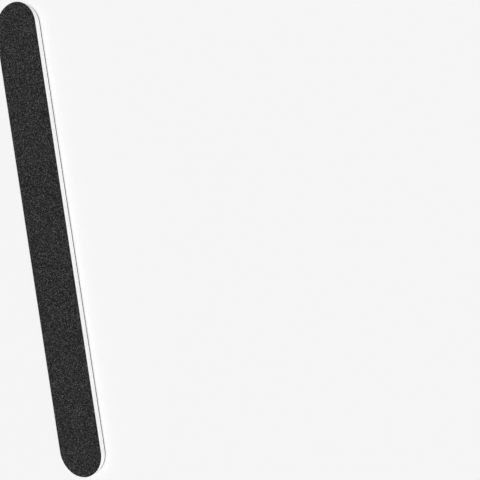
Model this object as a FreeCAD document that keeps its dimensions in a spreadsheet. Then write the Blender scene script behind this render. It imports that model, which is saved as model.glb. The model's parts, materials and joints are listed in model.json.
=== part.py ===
import FreeCAD, Part
import os
import Sketcher

# A cushioned emery board: a stack of glued plies, die-cut to one outline with full round ends.
# The board lies flat on its coarse face. Its length runs along Y, its width along X and Z is up.
# The origin is the middle of the underside. Lengths are in millimetres.

# Driving sizes, kept in the document's spreadsheet
SIZES = {
    "board_length": 178.0,
    "board_width": 19.0,
    "core_strip_thickness": 0.50,
    "coarse_foam_thickness": 0.70,
    "fine_foam_thickness": 0.70,
    "core_adhesive_thickness": 0.06,
    "paper_adhesive_thickness": 0.06,
    "coarse_paper_thickness": 0.24,
    "coarse_make_thickness": 0.06,
    "coarse_grain_thickness": 0.20,
    "fine_paper_thickness": 0.20,
    "fine_make_thickness": 0.05,
    "fine_grain_thickness": 0.11,
    "rim_round_share": 0.6,
}

# The plies from the table up, each with the size that gives its thickness
PLIES = [
    ("coarse_grain_coat", "coarse_grain_thickness"),
    ("coarse_make_coat", "coarse_make_thickness"),
    ("coarse_backing_paper", "coarse_paper_thickness"),
    ("coarse_paper_adhesive", "paper_adhesive_thickness"),
    ("coarse_side_foam", "coarse_foam_thickness"),
    ("coarse_core_adhesive", "core_adhesive_thickness"),
    ("core_strip", "core_strip_thickness"),
    ("fine_core_adhesive", "core_adhesive_thickness"),
    ("fine_side_foam", "fine_foam_thickness"),
    ("fine_paper_adhesive", "paper_adhesive_thickness"),
    ("fine_backing_paper", "fine_paper_thickness"),
    ("fine_make_coat", "fine_make_thickness"),
    ("fine_grain_coat", "fine_grain_thickness"),
]

doc = FreeCAD.newDocument("emery_board")


def size_sheet():
    """The spreadsheet of driving sizes, one named cell per size."""
    sheet = doc.addObject("Spreadsheet::Sheet", "Sizes")
    for row, (alias, value) in enumerate(SIZES.items(), start=1):
        sheet.set(f"A{row}", alias)
        sheet.set(f"B{row}", str(value))
        sheet.setAlias(f"B{row}", alias)
    doc.recompute()
    return sheet


def origin_plane(body, role):
    return next(plane for plane in body.Origin.OriginFeatures if plane.Role == role)


def board_outline(body):
    """The die's outline: two straight sides joined by two half circles, centred on the origin."""
    sketch = body.newObject("Sketcher::SketchObject", f"{body.Name}_outline")
    sketch.AttachmentSupport = [(origin_plane(body, "XY_Plane"), "")]
    sketch.MapMode = "FlatFace"

    radius = SIZES["board_width"] / 2
    reach = SIZES["board_length"] / 2 - radius
    up = FreeCAD.Vector(0, 0, 1)
    quarter_turn = FreeCAD.Units.Quantity("90 deg").getValueAs("rad").Value
    turns = [turn * quarter_turn for turn in range(5)]

    def corner(side, end):
        return FreeCAD.Vector(side * radius, end * reach, 0)

    def end_circle(end):
        return Part.Circle(FreeCAD.Vector(0, end * reach, 0), up, radius)

    right = sketch.addGeometry(Part.LineSegment(corner(1, -1), corner(1, 1)))
    far_end = sketch.addGeometry(Part.ArcOfCircle(end_circle(1), turns[0], turns[2]))
    left = sketch.addGeometry(Part.LineSegment(corner(-1, 1), corner(-1, -1)))
    near_end = sketch.addGeometry(Part.ArcOfCircle(end_circle(-1), turns[2], turns[4]))

    start, finish, centre = 1, 2, 3
    origin, y_axis = -1, -2
    loop = [right, far_end, left, near_end]
    for edge, after in zip(loop, loop[1:] + loop[:1]):
        sketch.addConstraint(Sketcher.Constraint("Tangent", edge, finish, after, start))
    sketch.addConstraint(Sketcher.Constraint("Vertical", right))
    sketch.addConstraint(Sketcher.Constraint("PointOnObject", far_end, centre, y_axis))
    sketch.addConstraint(Sketcher.Constraint("Symmetric", far_end, centre, near_end, centre, origin, start))

    end_radius = sketch.addConstraint(Sketcher.Constraint("Radius", far_end, radius))
    sketch.renameConstraint(end_radius, "end_radius")
    sketch.setExpression("Constraints.end_radius", "Sizes.board_width / 2")
    straight = sketch.addConstraint(Sketcher.Constraint("DistanceY", right, start, right, finish, 2 * reach))
    sketch.renameConstraint(straight, "straight_run")
    sketch.setExpression("Constraints.straight_run", "Sizes.board_length - Sizes.board_width")
    return sketch


def ply(label, thickness, below):
    """One die-cut ply that rests on the plies below it."""
    body = doc.addObject("PartDesign::Body", label)
    body.Label = label
    pad = body.newObject("PartDesign::Pad", f"{label}_sheet")
    pad.Profile = board_outline(body)
    pad.setExpression("Length", f"Sizes.{thickness}")
    if below:
        height = " + ".join(f"Sizes.{size}" for size in below)
        body.setExpression("Placement.Base.z", height)
    doc.recompute()
    return body


def round_rim(body, thickness, outer_height):
    """The outer rim of a grain coat, drawn over by the die as it cuts."""
    base = body.Tip
    rim = []
    for number, edge in enumerate(base.Shape.Edges, start=1):
        box = edge.BoundBox
        if abs(box.ZMin - outer_height) < edge.Tolerance and box.ZLength < edge.Tolerance:
            rim.append(f"Edge{number}")
    fillet = body.newObject("PartDesign::Fillet", f"{body.Name}_rim")
    fillet.Base = (base, rim)
    fillet.setExpression("Radius", f"Sizes.{thickness} * Sizes.rim_round_share")
    body.Tip = fillet
    doc.recompute()


def check(bodies):
    """Stops the build if any feature failed or any ply isn't one sound solid."""
    for item in doc.Objects:
        if "Invalid" in item.State or "Error" in item.State:
            raise RuntimeError(f"{item.Label} failed: {item.State}")
    for body in bodies:
        shape = body.Shape
        if shape.isNull() or not shape.isValid() or len(shape.Solids) != 1:
            raise RuntimeError(f"{body.Label} isn't one sound solid")


size_sheet()
bodies = []
below = []
for label, thickness in PLIES:
    bodies.append(ply(label, thickness, below))
    below.append(thickness)

coarse_coat = bodies[0]
fine_coat = bodies[-1]
round_rim(coarse_coat, "coarse_grain_thickness", 0)
round_rim(fine_coat, "fine_grain_thickness", SIZES["fine_grain_thickness"])

doc.recompute()
check(bodies)
os.makedirs("parts", exist_ok=True)
for body in bodies:
    body.Shape.exportStep(f"parts/{body.Label}.step")
    box = body.Shape.BoundBox
    print(f"{body.Label}: z {box.ZMin:.3f} to {box.ZMax:.3f}, volume {body.Shape.Volume:.2f}")
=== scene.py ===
import json
import math

import bpy
import numpy as np
from mathutils import Matrix, Vector

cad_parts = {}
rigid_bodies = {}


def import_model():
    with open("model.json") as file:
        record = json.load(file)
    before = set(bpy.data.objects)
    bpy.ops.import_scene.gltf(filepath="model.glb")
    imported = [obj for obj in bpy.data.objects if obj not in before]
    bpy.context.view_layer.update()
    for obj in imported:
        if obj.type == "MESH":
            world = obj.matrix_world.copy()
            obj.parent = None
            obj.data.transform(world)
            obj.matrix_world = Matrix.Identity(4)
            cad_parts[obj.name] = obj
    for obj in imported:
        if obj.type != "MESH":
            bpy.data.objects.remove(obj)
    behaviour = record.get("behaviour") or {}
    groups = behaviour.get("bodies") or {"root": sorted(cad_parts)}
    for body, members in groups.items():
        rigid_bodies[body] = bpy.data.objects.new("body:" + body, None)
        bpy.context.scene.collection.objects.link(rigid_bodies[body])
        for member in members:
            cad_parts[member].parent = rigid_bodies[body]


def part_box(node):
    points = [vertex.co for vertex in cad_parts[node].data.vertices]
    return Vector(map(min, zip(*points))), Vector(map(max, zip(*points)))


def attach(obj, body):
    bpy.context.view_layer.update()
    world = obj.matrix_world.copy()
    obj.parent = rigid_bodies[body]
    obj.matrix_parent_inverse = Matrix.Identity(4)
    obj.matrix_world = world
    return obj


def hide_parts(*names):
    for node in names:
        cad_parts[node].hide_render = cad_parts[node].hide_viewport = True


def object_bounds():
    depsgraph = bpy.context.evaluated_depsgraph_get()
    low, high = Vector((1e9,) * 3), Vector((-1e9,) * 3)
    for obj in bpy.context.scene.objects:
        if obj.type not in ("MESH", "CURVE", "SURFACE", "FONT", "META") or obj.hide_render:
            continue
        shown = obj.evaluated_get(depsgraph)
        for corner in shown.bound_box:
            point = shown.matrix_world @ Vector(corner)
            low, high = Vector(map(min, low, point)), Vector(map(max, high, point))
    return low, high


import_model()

# A cushioned emery board, fine face up: thirteen glued plies with their cut edges, and grains on both faces.
# Lengths are in metres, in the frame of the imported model, with the board's length along Y.
CAD_LOW, CAD_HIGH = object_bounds()
END_RADIUS = (CAD_HIGH.x - CAD_LOW.x) / 2
REACH = (CAD_HIGH.y - CAD_LOW.y) / 2 - END_RADIUS

# How finely the cut edge is divided
END_STEPS = 300
SIDE_CUTS = (9, 9, 15)
LONG_EDGE = 2 * math.pi * END_RADIUS / END_STEPS
WELD = 1e-6

# Grain coats
FINE_GRAIN = 0.00020
FINE_BED_SHARE = 0.22
FINE_RIM_DROP = 0.000012
FINE_RAGGED = 0.000015
COARSE_GRAIN = 0.00022
COARSE_BED_SHARE = 0.25
COARSE_RIM_DROP = 0.00002
COARSE_RAGGED = 0.000045
SCATTER_SHARE = 0.42
LOW_GRAIN_SHARE = 0.42
TALL_GRAIN_SHARE = 0.38
WELD_SHARE = 0.55

# Cut edges of the plies
FOAM_ROWS = 8
FOAM_DISH = 0.00004
FOAM_PIT = 0.00003
FOAM_PIT_SHARE = 0.25
STIFFENER_ROWS = 5
STIFFENER_SCORE = 0.000012
PAPER_ROWS = 4
PAPER_FRAY = 0.000025
FILM_RECESS = 0.00004
RESIN_ROWS = 2
RESIN_CHIP = 0.00002
EDGE_TRIM_SHARE = 0.05
SMOOTH_ANGLE = math.radians(50)

# Grains and marks in the finishes
FINE_SPECK = 0.00020
FINE_CLUMP = 0.0012
FINE_DOME = 0.00005
COARSE_SPECK = 0.00032
COARSE_CLUMP = 0.0014
COARSE_DOME = 0.0001
# Share of the grit's tone that is painted shade in the valleys and painted light on the grain tips
RELIEF_SHADE_SHARE = 0.15
CLUMP_TONE_SHARE = 0.10
# Share of the grit's tone that is painted shade in the gaps round each grain
GAP_SHADE_SHARE = 0.70
WARP_SHARE = 2.0
FOAM_CELL = 0.00012
FOAM_SMUDGE = 0.006
FOAM_CELL_DEPTH = 0.00002
SCORE_MARK = 0.00012
SCORE_SMUDGE = 0.004
SCORE_DEPTH = 0.00001
PAPER_FIBRE = 0.00025
PAPER_SMUDGE = 0.005
PAPER_FIBRE_DEPTH = 0.00002
FILM_MARK = 0.0004
FILM_SMUDGE = 0.005
FILM_MARK_DEPTH = 0.00001
RESIN_MARK = 0.0002
RESIN_SMUDGE = 0.004
RESIN_MARK_DEPTH = 0.00001
SMUDGE_SHARE = 0.3

# Camera, from the outline in the photograph
FRAME_PIXELS = 480
FOCAL_PIXELS = 584.0
SENSOR_WIDTH = 36.0
CAMERA_PLACE = Vector((0.15293, -0.01060, 0.17170))
CAMERA_AIM = Vector((0.07602, -0.01070, 0.0))
CAMERA_ROLL = math.radians(8.668)
NEAR_CLIP_SHARE = 0.1

# Floor, lamp and world
FLOOR_SIZE = 12.0
FLOOR_GREY = 0.92
SURROUND_GREY = 0.92
FILL_STRENGTH = 0.42
KEY_STRENGTH = 2.35
KEY_TOWARDS = Vector((0.58, -0.27, 0.77))
KEY_ANGLE = math.radians(25)


# Modelling helpers
def begin(mode):
    """Opens the active piece for editing with nothing selected. mode is VERT, EDGE or FACE."""
    bpy.ops.object.mode_set(mode="EDIT")
    bpy.ops.mesh.select_mode(type=mode)
    bpy.ops.mesh.select_all(action="DESELECT")


def places_of(mesh):
    """The places of a mesh's points, one row each."""
    found = np.empty(len(mesh.vertices) * 3)
    mesh.vertices.foreach_get("co", found)
    return found.reshape(-1, 3)


def pick_points(piece, test):
    """Selects the points whose places pass a test on x, y and z."""
    begin("VERT")
    bpy.ops.object.mode_set(mode="OBJECT")
    piece.data.vertices.foreach_set("select", test(*places_of(piece.data).T))
    bpy.ops.object.mode_set(mode="EDIT")


def pick_long_edges(piece):
    """Selects the edges that are longer than a step of the round ends."""
    begin("EDGE")
    bpy.ops.object.mode_set(mode="OBJECT")
    mesh = piece.data
    ends = np.empty(len(mesh.edges) * 2, int)
    mesh.edges.foreach_get("vertices", ends)
    starts, stops = places_of(mesh)[ends.reshape(-1, 2).T]
    mesh.edges.foreach_set("select", np.linalg.norm(stops - starts, axis=1) > LONG_EDGE)
    bpy.ops.object.mode_set(mode="EDIT")


def keep_some(share, seed):
    """Keeps a chance share of the selected points selected."""
    bpy.ops.mesh.select_random(ratio=1 - share, seed=seed, action="DESELECT")


def select_everything():
    """Selects all of the piece that is open for editing."""
    bpy.ops.mesh.select_all(action="SELECT")


def move(x, y, z):
    """Moves what is selected."""
    bpy.ops.transform.translate(value=(x, y, z))


def extrude(x, y, z):
    """Draws a copy of what is selected out by x, y and z, joined to it by new edges or faces."""
    bpy.ops.mesh.extrude_region_move(TRANSFORM_OT_translate={"value": (x, y, z)})


def roughen(offset, seed, along_normal=1, evenness=0):
    """Moves the selected points by chance: either way along their normals, or any way if along_normal is 0."""
    bpy.ops.transform.vertex_random(offset=offset, uniform=evenness, normal=along_normal, seed=seed)


def push_in(depth):
    """Moves the selected points of a cut edge inwards."""
    bpy.ops.transform.shrink_fatten(value=-depth)


def flatten(height):
    """Brings the selected points to one height."""
    bpy.ops.transform.resize(value=(1, 1, 0), center_override=(0, 0, height))


def face_outwards():
    """Turns all faces outwards and leaves edit mode."""
    select_everything()
    bpy.ops.mesh.normals_make_consistent(inside=False)
    bpy.ops.object.mode_set(mode="OBJECT")


def start_point(x, y, z):
    """A new piece that is one point, ready to extrude."""
    bpy.ops.object.select_all(action="DESELECT")
    bpy.ops.mesh.primitive_plane_add(size=END_RADIUS)
    begin("VERT")
    select_everything()
    bpy.ops.mesh.merge(type="CENTER")
    move(x, y, z)
    return bpy.context.object


def spin_half_turn(steps, y, z):
    """Sweeps what is selected round a half circle about an upright axis on the centre line."""
    bpy.ops.mesh.spin(steps=steps, angle=-math.pi, center=(0, y, z), axis=(0, 0, 1))


def dress(piece, node, material):
    """Puts a piece in a node's place, on the board's one body, with its finish."""
    piece.data.materials.clear()
    piece.data.materials.append(material)
    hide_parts(node)
    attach(piece, "root")


# The die-cut plies
def outline(name, inset, height):
    """A loop of edges along the board's outline, drawn in by inset, at a height."""
    piece = start_point(END_RADIUS - inset, -REACH, height)
    piece.name = name
    for side in (1, -1):
        extrude(0, side * 2 * REACH, 0)
        spin_half_turn(END_STEPS, side * REACH, height)
    select_everything()
    bpy.ops.mesh.remove_doubles(threshold=WELD)
    for cuts in SIDE_CUTS:
        pick_long_edges(piece)
        bpy.ops.mesh.subdivide(number_cuts=cuts)
    return piece


def die_cut(node, rows, inset=0):
    """A ply as the die leaves it: the outline, drawn in by inset, raised in rows to the ply's top."""
    low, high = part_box(node)
    piece = outline(f"{node}_ply", inset, low.z)
    select_everything()
    bpy.ops.mesh.edge_face_add()
    for _ in range(rows):
        extrude(0, 0, (high.z - low.z) / rows)
    face_outwards()
    return piece


def pick_cut_edge(piece, node):
    """Selects the points of a ply's cut edge between its two faces."""
    low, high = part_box(node)
    trim = (high.z - low.z) * EDGE_TRIM_SHARE
    pick_points(piece, lambda x, y, z: (z > low.z + trim) & (z < high.z - trim))


def smooth():
    """Shades the active piece smooth, apart from its sharp edges, and leaves edit mode."""
    bpy.ops.object.mode_set(mode="OBJECT")
    bpy.ops.object.shade_smooth_by_angle(angle=SMOOTH_ANGLE)


def foam_ply(node, seed, material):
    """Foam springs back from the die, so its cut edge is dished, with open cells in it."""
    piece = die_cut(node, FOAM_ROWS)
    low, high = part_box(node)
    row_height = (high.z - low.z) / FOAM_ROWS
    for row in range(1, FOAM_ROWS):
        share = row / FOAM_ROWS
        height = low.z + row * row_height
        pick_points(piece, lambda x, y, z: np.abs(z - height) < row_height / 2)
        push_in(FOAM_DISH * 4 * share * (1 - share))
    for cells in (seed, seed + 1):
        pick_cut_edge(piece, node)
        keep_some(FOAM_PIT_SHARE, cells)
        push_in(FOAM_PIT)
    smooth()
    dress(piece, node, material)


def stiffener_ply(node, seed, material):
    """Stiff plastic with fine score marks from the die, drawn in so that they stay within the outline."""
    piece = die_cut(node, STIFFENER_ROWS, STIFFENER_SCORE)
    pick_cut_edge(piece, node)
    roughen(STIFFENER_SCORE, seed)
    smooth()
    dress(piece, node, material)


def paper_ply(node, seed, material):
    """Paper with a cut edge that frays both ways, drawn in so that the fray stays within the outline."""
    piece = die_cut(node, PAPER_ROWS, PAPER_FRAY)
    pick_cut_edge(piece, node)
    roughen(PAPER_FRAY, seed)
    smooth()
    dress(piece, node, material)


def resin_ply(node, seed, material):
    """Brittle bond resin, chipped at its edge, and drawn in so that the chips stay within the outline."""
    piece = die_cut(node, RESIN_ROWS, RESIN_CHIP)
    pick_cut_edge(piece, node)
    roughen(RESIN_CHIP, seed)
    smooth()
    dress(piece, node, material)


def film_ply(node, material):
    """A film of adhesive that stays a little behind the edge."""
    piece = die_cut(node, 1, FILM_RECESS)
    smooth()
    dress(piece, node, material)


# The grain coats
def round_end(radius, grain):
    """Half a disc of fine cells that rounds off one end of a coat."""
    end = start_point(0, REACH, 0)
    extrude(radius, 0, 0)
    select_everything()
    bpy.ops.mesh.subdivide(number_cuts=round(radius / grain) - 1)
    spin_half_turn(round(math.pi * radius / grain), REACH, 0)
    bpy.ops.object.mode_set(mode="OBJECT")
    return end


def grain_sheet(name, radius, grain):
    """A flat sheet of fine cells in the board's outline."""
    far_end = round_end(radius, grain)
    bpy.ops.object.duplicate()
    near_end = bpy.context.object
    bpy.ops.transform.rotate(value=math.pi, orient_axis="Z", center_override=(0, 0, 0))
    bpy.ops.object.select_all(action="DESELECT")
    across = 2 * round(radius / grain)
    along = round(2 * REACH / grain)
    bpy.ops.mesh.primitive_grid_add(x_subdivisions=across, y_subdivisions=along, size=1)
    sheet = bpy.context.object
    sheet.name = name
    bpy.ops.transform.resize(value=(2 * radius, 2 * REACH, 1))
    bpy.ops.object.transform_apply()
    for end in (far_end, near_end):
        end.select_set(True)
    bpy.ops.object.join()
    begin("VERT")
    select_everything()
    bpy.ops.mesh.remove_doubles(threshold=grain * WELD_SHARE)
    return sheet


def close_back(bed):
    """Draws the open rim down to the coat's back and closes it."""
    bpy.ops.mesh.select_all(action="DESELECT")
    bpy.ops.mesh.select_non_manifold(
        use_wire=False, use_multi_face=False, use_non_contiguous=False, use_verts=False
    )
    extrude(0, 0, -bed)
    bpy.ops.mesh.edge_face_add()
    face_outwards()


def inside_outline(x, y, margin):
    """Whether points lie further inside the board's outline than a margin."""
    past_end = np.maximum(np.abs(y) - REACH, 0)
    return np.hypot(x, past_end) < END_RADIUS - margin


def raise_grains(piece, bed, relief, grain, margin, seed):
    """Scatters the face's points, sets them at half the relief and moves them up or down, some further."""
    def on_face(x, y, z):
        return (z > -bed / 2) & inside_outline(x, y, margin)

    pick_points(piece, on_face)
    roughen(grain * SCATTER_SHARE, seed, along_normal=0)
    flatten(relief / 2)
    roughen(relief / 2 * LOW_GRAIN_SHARE, seed + 1)
    keep_some(TALL_GRAIN_SHARE, seed + 2)
    roughen(relief / 2 * (1 - LOW_GRAIN_SHARE), seed + 3, evenness=LOW_GRAIN_SHARE)


def fray_rim(piece, bed, margin, rim_drop, ragged, seed):
    """Leaves the rim ragged and draws its upper line down a little, as the die does."""
    pick_points(piece, lambda x, y, z: (z > -bed / 2) & ~inside_outline(x, y, margin))
    roughen(ragged, seed + 4, along_normal=0)
    flatten(-rim_drop)
    pick_points(piece, lambda x, y, z: z < -bed / 2)
    roughen(ragged, seed + 5, along_normal=0)
    flatten(-bed)


def grain_coat(node, grain, bed_share, rim_drop, ragged, seed):
    """A coat of grains that faces up, with its bed at height zero."""
    low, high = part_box(node)
    bed = (high.z - low.z) * bed_share
    relief = high.z - low.z - bed
    piece = grain_sheet(f"{node}_grains", END_RADIUS - ragged, grain)
    margin = ragged + grain / 2
    close_back(bed)
    raise_grains(piece, bed, relief, grain, margin, seed)
    fray_rim(piece, bed, margin, rim_drop, ragged, seed)
    select_everything()
    bpy.ops.mesh.quads_convert_to_tris(quad_method="SHORTEST_DIAGONAL", ngon_method="BEAUTY")
    return piece, bed


def fine_face(seed, material):
    """The fine coat, on top of the board."""
    node = "fine_grain_coat"
    piece, bed = grain_coat(node, FINE_GRAIN, FINE_BED_SHARE, FINE_RIM_DROP, FINE_RAGGED, seed)
    low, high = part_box(node)
    move(0, 0, low.z + bed)
    bpy.ops.object.mode_set(mode="OBJECT")
    dress(piece, node, material)


def coarse_face(seed, material):
    """The coarse coat, turned over to lie under the board."""
    node = "coarse_grain_coat"
    piece, bed = grain_coat(node, COARSE_GRAIN, COARSE_BED_SHARE, COARSE_RIM_DROP, COARSE_RAGGED, seed)
    low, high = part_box(node)
    bpy.ops.transform.rotate(value=math.pi, orient_axis="Y", center_override=(0, 0, 0))
    move(0, 0, high.z - bed)
    bpy.ops.object.mode_set(mode="OBJECT")
    dress(piece, node, material)


# Material helpers
def add_node(tree, kind, inputs=(), **settings):
    """A shader node with its settings, and its inputs set or linked by name."""
    made = tree.nodes.new(kind)
    for name, value in settings.items():
        setattr(made, name, value)
    for name, value in dict(inputs).items():
        if isinstance(value, bpy.types.NodeSocket):
            tree.links.new(value, made.inputs[name])
        else:
            made.inputs[name].default_value = value
    return made


def times_plus(tree, value, factor, extra):
    """value times factor plus extra, as a node."""
    made = add_node(tree, "ShaderNodeMath", {0: value, 1: factor, 2: extra}, operation="MULTIPLY_ADD")
    return made.outputs["Value"]


def ramp(tree, factor, stops):
    """Greys at places from 0 to 1."""
    made = add_node(tree, "ShaderNodeValToRGB", {"Fac": factor})
    elements = made.color_ramp.elements
    while len(elements) < len(stops):
        elements.new(1)
    for element, (place, grey) in zip(elements, stops):
        element.position = place
        element.color = (grey, grey, grey, 1)
    return made.outputs["Color"]


def new_group(name, inputs, outputs):
    """An empty node group with named sockets."""
    tree = bpy.data.node_groups.new(name, "ShaderNodeTree")
    for label, kind in inputs:
        tree.interface.new_socket(name=label, in_out="INPUT", socket_type=f"NodeSocket{kind}")
    for label in outputs:
        tree.interface.new_socket(name=label, in_out="OUTPUT", socket_type="NodeSocketFloat")
    return tree, tree.nodes.new("NodeGroupInput").outputs, tree.nodes.new("NodeGroupOutput").inputs


def new_material(name, shine):
    """A material, its tree, its shader and the place on the piece."""
    made = bpy.data.materials.new(name)
    made.use_nodes = True
    tree = made.node_tree
    shader = tree.nodes["Principled BSDF"]
    shader.inputs["Specular IOR Level"].default_value = shine
    place = add_node(tree, "ShaderNodeTexCoord").outputs["Object"]
    return made, tree, shader, place


def add_bump(tree, shader, height, depth):
    """Gives a finish a relief of a depth, from a height between 0 and 1."""
    bump = add_node(tree, "ShaderNodeBump", {"Height": height, "Distance": depth})
    tree.links.new(bump.outputs["Normal"], shader.inputs["Normal"])


def grain_group():
    """Uneven grains: a tone that goes with chance and clump, painted shade in the gaps and valleys, painted
    light on the tips, and a small dome each.
    """
    amounts = ("Valley", "Tip", "Grains", "Clumps", "Warp")
    inputs = [("Vector", "Vector")] + [(label, "Float") for label in amounts]
    tree, given, result = new_group("grains", inputs, ("Tone", "Chance", "Dome"))
    place = given["Vector"]
    axes = add_node(tree, "ShaderNodeSeparateXYZ", {"Vector": place})
    # Painted shade and light: the grit is darker in its valleys and lighter on its grain tips
    span = {"Value": axes.outputs["Z"], "From Min": given["Valley"], "From Max": given["Tip"]}
    height = add_node(tree, "ShaderNodeMapRange", span).outputs["Result"]
    uneven = add_node(tree, "ShaderNodeTexNoise", {"Vector": place, "Scale": given["Grains"], "Detail": 1.0})
    warp = {0: uneven.outputs["Color"], 1: given["Warp"], 2: place}
    warped = add_node(tree, "ShaderNodeVectorMath", warp, operation="MULTIPLY_ADD").outputs["Vector"]
    cells = add_node(tree, "ShaderNodeTexVoronoi", {"Vector": warped, "Scale": given["Grains"]})
    chance = add_node(tree, "ShaderNodeSeparateColor", {"Color": cells.outputs["Color"]}).outputs["Red"]
    clumps = add_node(tree, "ShaderNodeTexNoise", {"Vector": place, "Scale": given["Clumps"], "Detail": 1.0})
    mottle = times_plus(tree, clumps.outputs["Fac"], CLUMP_TONE_SHARE, -CLUMP_TONE_SHARE / 2)
    shade_and_mottle = times_plus(tree, height, RELIEF_SHADE_SHARE, mottle)
    own_tone = times_plus(tree, chance, 1 - RELIEF_SHADE_SHARE, shade_and_mottle)
    # Painted shade: each grain is darker towards its gap and lighter in its middle
    gap_shade = times_plus(tree, cells.outputs["Distance"], -GAP_SHADE_SHARE, 1 + GAP_SHADE_SHARE / 4)
    tone = times_plus(tree, own_tone, gap_shade, 0.0)
    dome = times_plus(tree, cells.outputs["Distance"], -1.0, 1.0)
    tree.links.new(tone, result["Tone"])
    tree.links.new(chance, result["Chance"])
    tree.links.new(dome, result["Dome"])
    return tree


def grit_material(name, grains, valley, tip, speck, clump, dome, tones, gloss, shine):
    """Abrasive grains in a dark top coat."""
    made, tree, shader, place = new_material(name, shine)
    group = add_node(tree, "ShaderNodeGroup", node_tree=grains)
    tree.links.new(place, group.inputs["Vector"])
    warp = speck * WARP_SHARE
    values = {"Valley": valley, "Tip": tip, "Grains": 1 / speck, "Clumps": 1 / clump, "Warp": warp}
    for label, value in values.items():
        group.inputs[label].default_value = value
    # Painted glints: the ramp's brightest tones stand in for grains catching the light
    tree.links.new(ramp(tree, group.outputs["Tone"], tones), shader.inputs["Base Color"])
    tree.links.new(ramp(tree, group.outputs["Chance"], gloss), shader.inputs["Roughness"])
    add_bump(tree, shader, group.outputs["Dome"], dome)
    return made


def fine_grit(grains):
    """Dark grey, matt and evenly speckled by grains of uneven tone; its brightest specks are painted glints.
    """
    low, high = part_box("fine_grain_coat")
    valley = low.z + (high.z - low.z) * FINE_BED_SHARE
    return grit_material(
        "fine_grit", grains, valley, high.z, FINE_SPECK, FINE_CLUMP, FINE_DOME,
        # The brightest tones are painted glints on the grains
        tones=((0.0, 0.003), (0.56, 0.009), (0.72, 0.090), (1.0, 0.235)),
        gloss=((0.0, 0.80), (1.0, 0.45)), shine=0.10
    )


def coarse_grit(grains):
    """Black, with fewer and brighter specks; the brightest are painted glints."""
    low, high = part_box("coarse_grain_coat")
    valley = high.z - (high.z - low.z) * COARSE_BED_SHARE
    return grit_material(
        "coarse_grit", grains, valley, low.z, COARSE_SPECK, COARSE_CLUMP, COARSE_DOME,
        # The brightest tones are painted glints on the grains
        tones=((0.0, 0.002), (0.73, 0.005), (0.83, 0.180), (1.0, 0.700)),
        gloss=((0.0, 0.65), (1.0, 0.25)), shine=0.08
    )


def cut_group():
    """The mottle of a cut edge: fine marks, and soft smudges along the edge."""
    inputs = (("Vector", "Vector"), ("Marks", "Float"), ("Smudges", "Float"))
    tree, given, result = new_group("cut_marks", inputs, ("Mottle",))
    place = given["Vector"]
    marks = add_node(tree, "ShaderNodeTexNoise", {"Vector": place, "Scale": given["Marks"], "Detail": 3.0})
    smudges = add_node(tree, "ShaderNodeTexNoise", {"Vector": place, "Scale": given["Smudges"]})
    smudge_tone = times_plus(tree, smudges.outputs["Fac"], SMUDGE_SHARE, 0.0)
    mottle = times_plus(tree, marks.outputs["Fac"], 1 - SMUDGE_SHARE, smudge_tone)
    tree.links.new(mottle, result["Mottle"])
    return tree


def cut_material(name, cut_marks, mark, smudge, depth, stretch, tones, roughness, shine):
    """A ply's cut edge. stretch draws its marks out along X, Y and Z."""
    made, tree, shader, place = new_material(name, shine)
    drawn = add_node(tree, "ShaderNodeMapping", {"Vector": place, "Scale": stretch})
    group = add_node(tree, "ShaderNodeGroup", node_tree=cut_marks)
    tree.links.new(drawn.outputs["Vector"], group.inputs["Vector"])
    group.inputs["Marks"].default_value = 1 / mark
    group.inputs["Smudges"].default_value = 1 / smudge
    tree.links.new(ramp(tree, group.outputs["Mottle"], tones), shader.inputs["Base Color"])
    shader.inputs["Roughness"].default_value = roughness
    add_bump(tree, shader, group.outputs["Mottle"], depth)
    return made


def white_foam(cut_marks):
    """Fine cells, the same in all directions, darker where the bump is low: painted shade in the open cells,
    with soft smudges of uneven tone.
    """
    return cut_material(
        "white_foam", cut_marks, FOAM_CELL, FOAM_SMUDGE, FOAM_CELL_DEPTH,
        # The darker tones are painted shade in the open cells
        stretch=(1, 1, 1), tones=((0.35, 0.75), (0.60, 0.87)), roughness=0.9, shine=0.3
    )


def white_plastic(cut_marks):
    """Score marks that run up the edge."""
    return cut_material(
        "white_plastic", cut_marks, SCORE_MARK, SCORE_SMUDGE, SCORE_DEPTH,
        stretch=(1, 1, 0.06), tones=((0.30, 0.77), (0.65, 0.85)), roughness=0.45, shine=0.4
    )


def black_paper(cut_marks):
    """Fibres that lie along the edge."""
    return cut_material(
        "black_paper", cut_marks, PAPER_FIBRE, PAPER_SMUDGE, PAPER_FIBRE_DEPTH,
        stretch=(1, 1, 5), tones=((0.35, 0.006), (0.70, 0.024)), roughness=0.85, shine=0.15
    )


def clear_adhesive(cut_marks):
    """A grey line between white plies."""
    return cut_material(
        "clear_adhesive", cut_marks, FILM_MARK, FILM_SMUDGE, FILM_MARK_DEPTH,
        stretch=(1, 1, 1), tones=((0.30, 0.58), (0.70, 0.70)), roughness=0.3, shine=0.4
    )


def bond_resin(cut_marks):
    """Black and a little shiny."""
    return cut_material(
        "bond_resin", cut_marks, RESIN_MARK, RESIN_SMUDGE, RESIN_MARK_DEPTH,
        stretch=(1, 1, 1), tones=((0.35, 0.005), (0.70, 0.018)), roughness=0.45, shine=0.3
    )


# The studio
def pale_floor():
    """A plain matt floor that takes the board's shadow."""
    bpy.ops.object.select_all(action="DESELECT")
    bpy.ops.mesh.primitive_plane_add(size=FLOOR_SIZE)
    floor = bpy.context.object
    floor.name = "floor"
    made = bpy.data.materials.new("pale_floor")
    made.use_nodes = True
    shader = made.node_tree.nodes["Principled BSDF"]
    shader.inputs["Base Color"].default_value = (FLOOR_GREY, FLOOR_GREY, FLOOR_GREY, 1)
    shader.inputs["Roughness"].default_value = 1
    shader.inputs["Specular IOR Level"].default_value = 0
    floor.data.materials.append(made)


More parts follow.
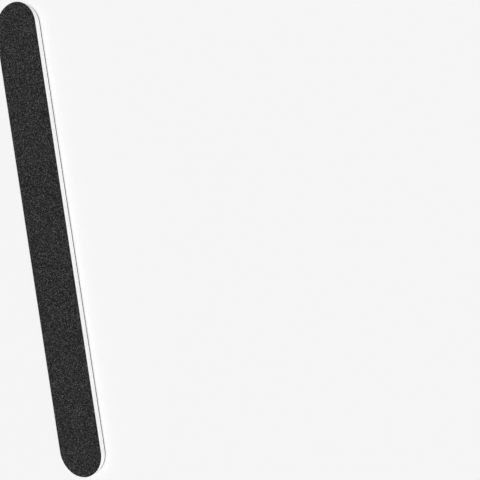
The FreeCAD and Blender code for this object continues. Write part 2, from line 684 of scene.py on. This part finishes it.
def surroundings():
    """A soft fill from all round, which looks as pale as the floor to the camera and in reflections."""
    world = bpy.data.worlds.new("studio")
    bpy.context.scene.world = world
    world.use_nodes = True
    tree = world.node_tree
    path = add_node(tree, "ShaderNodeLightPath").outputs
    direct = {0: path["Is Camera Ray"], 1: path["Is Glossy Ray"]}
    seen = add_node(tree, "ShaderNodeMath", direct, operation="MAXIMUM").outputs["Value"]
    through = {0: seen, 1: path["Is Transmission Ray"]}
    shown = add_node(tree, "ShaderNodeMath", through, operation="MAXIMUM")
    strength = times_plus(tree, shown.outputs["Value"], SURROUND_GREY - FILL_STRENGTH, FILL_STRENGTH)
    background = tree.nodes["Background"]
    background.inputs["Color"].default_value = (1, 1, 1, 1)
    tree.links.new(strength, background.inputs["Strength"])


def key_lamp():
    """One large soft lamp, high on the camera's side."""
    lamp = bpy.data.lights.new("key", "SUN")
    lamp.energy = KEY_STRENGTH
    lamp.angle = KEY_ANGLE
    key = bpy.data.objects.new("key", lamp)
    key.rotation_euler = (-KEY_TOWARDS).to_track_quat("-Z", "Y").to_euler()
    bpy.context.scene.collection.objects.link(key)


def photo_camera():
    """The photograph's view, down onto the board from beside its right edge."""
    ahead = (CAMERA_AIM - CAMERA_PLACE).normalized()
    side = ahead.cross(Vector((0, 1, 0))).normalized()
    up = side.cross(ahead) * math.cos(CAMERA_ROLL) + side * math.sin(CAMERA_ROLL)
    right = ahead.cross(up)
    lens = bpy.data.cameras.new("photo_view")
    lens.sensor_width = SENSOR_WIDTH
    lens.lens = SENSOR_WIDTH * FOCAL_PIXELS / FRAME_PIXELS
    lens.clip_start = END_RADIUS * NEAR_CLIP_SHARE
    camera = bpy.data.objects.new("photo_view", lens)
    turn = Matrix((right, up, -ahead)).transposed()
    camera.matrix_world = Matrix.Translation(CAMERA_PLACE) @ turn.to_4x4()
    bpy.context.scene.collection.objects.link(camera)
    bpy.context.scene.camera = camera


def build_board():
    """All thirteen plies, from the table up."""
    grains = grain_group()
    cut_marks = cut_group()
    resin = bond_resin(cut_marks)
    paper = black_paper(cut_marks)
    film = clear_adhesive(cut_marks)
    foam = white_foam(cut_marks)
    coarse_face(11, coarse_grit(grains))
    resin_ply("coarse_make_coat", 21, resin)
    paper_ply("coarse_backing_paper", 22, paper)
    film_ply("coarse_paper_adhesive", film)
    foam_ply("coarse_side_foam", 23, foam)
    film_ply("coarse_core_adhesive", film)
    stiffener_ply("core_strip", 24, white_plastic(cut_marks))
    film_ply("fine_core_adhesive", film)
    foam_ply("fine_side_foam", 25, foam)
    film_ply("fine_paper_adhesive", film)
    paper_ply("fine_backing_paper", 26, paper)
    resin_ply("fine_make_coat", 27, resin)
    fine_face(12, fine_grit(grains))


build_board()
pale_floor()
surroundings()
key_lamp()
photo_camera()
bpy.context.scene.view_settings.view_transform = "Standard"
